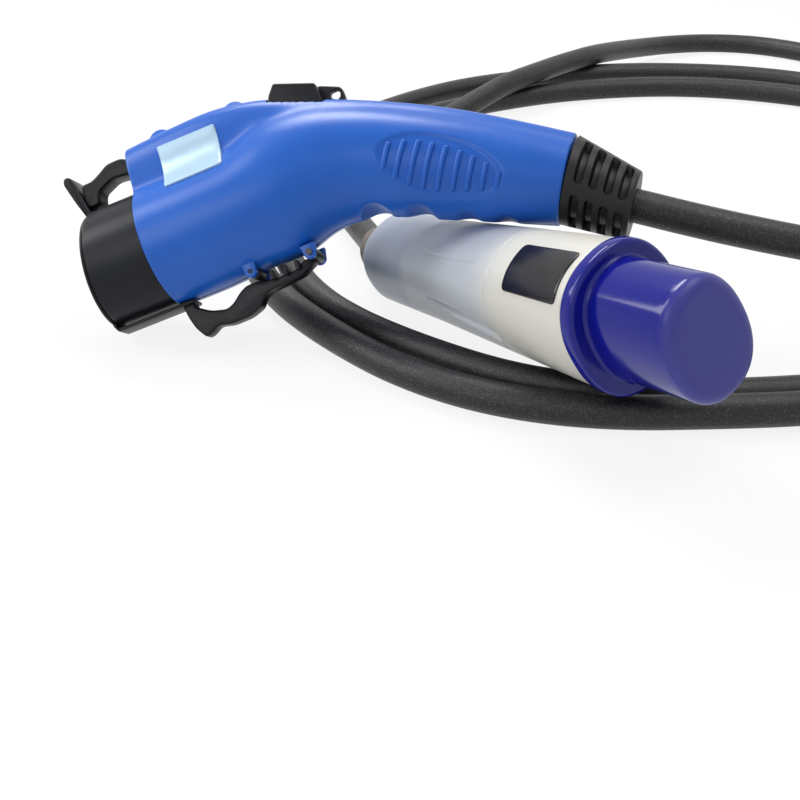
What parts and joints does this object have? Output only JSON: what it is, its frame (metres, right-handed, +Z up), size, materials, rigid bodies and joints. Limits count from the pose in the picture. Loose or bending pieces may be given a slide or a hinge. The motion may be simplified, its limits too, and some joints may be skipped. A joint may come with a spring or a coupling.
{
  "type": "ev charging cable",
  "caption": "Charging lead for an electric car: pistol-grip connector with latch and flip cover, coiled lead and capped supply plug.",
  "frame": {"origin": "on the table, under the middle of the box round the connector and the plug", "axes": "+Z up from the table; +X to the right as the picture sees it, along the connector and its handle; +Y away from the viewer"},
  "size_m": [0.4567, 0.564, 0.0882],
  "materials": {
    "housing_blue": "smooth semi-gloss moulded nylon",
    "nose_black": "satin moulded",
    "latch_black": "satin moulded",
    "seal_rubber": "smooth",
    "relief_rubber": "satin, glossy at the slot edges",
    "cable_sheath": "fine matt grain",
    "contact_plating": "silver plated, polished",
    "steel": "plain turned steel",
    "badge_silver": "blank satin foil",
    "plug_grey": "satin moulded",
    "plug_cream": "satin moulded",
    "label_dark": "blank glossy label",
    "cap_violet": "glossy vinyl"
  },
  "bodies": {
    "housing": {"shell_near": "housing_blue", "shell_far": "housing_blue", "nose_barrel": "nose_black", "contact_insulator": "nose_black", "nose_seal": "seal_rubber", "power_socket_1": "contact_plating", "power_socket_2": "contact_plating", "earth_socket": "contact_plating", "signal_socket_1": "contact_plating", "signal_socket_2": "contact_plating", "latch_pin": "steel", "latch_spring": "steel", "flip_cap_pin": "steel", "flip_cap_spring_pin": "steel", "flip_cap_spring": "steel", "badge_plate": "badge_silver", "strain_relief": "relief_rubber", "cable_clamp": "nose_black", "housing_screws": "steel", "lead_core": "cable_sheath", "plug_body": "plug_grey", "plug_collar": "plug_cream", "plug_pin_carrier": "nose_black", "plug_pins": "contact_plating", "plug_boot": "plug_grey", "plug_label": "label_dark", "cable_run_gun": "cable_sheath", "cable_run_plug": "cable_sheath", "cable_coil": "cable_sheath"},
    "latch": {"latch_lever": "latch_black", "latch_button": "latch_black"},
    "flip_cover": {"flip_cap": "latch_black"},
    "plug_cover": {"plug_cap": "cap_violet"}
  },
  "joints": [
    {"name": "latch_press", "type": "hinge", "parent": "housing", "child": "latch", "pos_m": [-0.06973, 0.04554, 0.06202], "axis": [0.2095, 0.8339, -0.5105], "range_deg": [0, 5], "stiffness_Nm_per_rad": 0.2},
    {"name": "flip_cover_open", "type": "hinge", "parent": "housing", "child": "flip_cover", "pos_m": [-0.01912, 0.01551, 0.03374], "axis": [-0.2095, -0.8339, 0.5105], "range_deg": [0, 36], "stiffness_Nm_per_rad": 0.05},
    {"name": "plug_cover_pull", "type": "slide", "parent": "housing", "child": "plug_cover", "axis": [0.549, -0.8201, 0.1616], "range_m": [0, 0.045]}
  ]
}
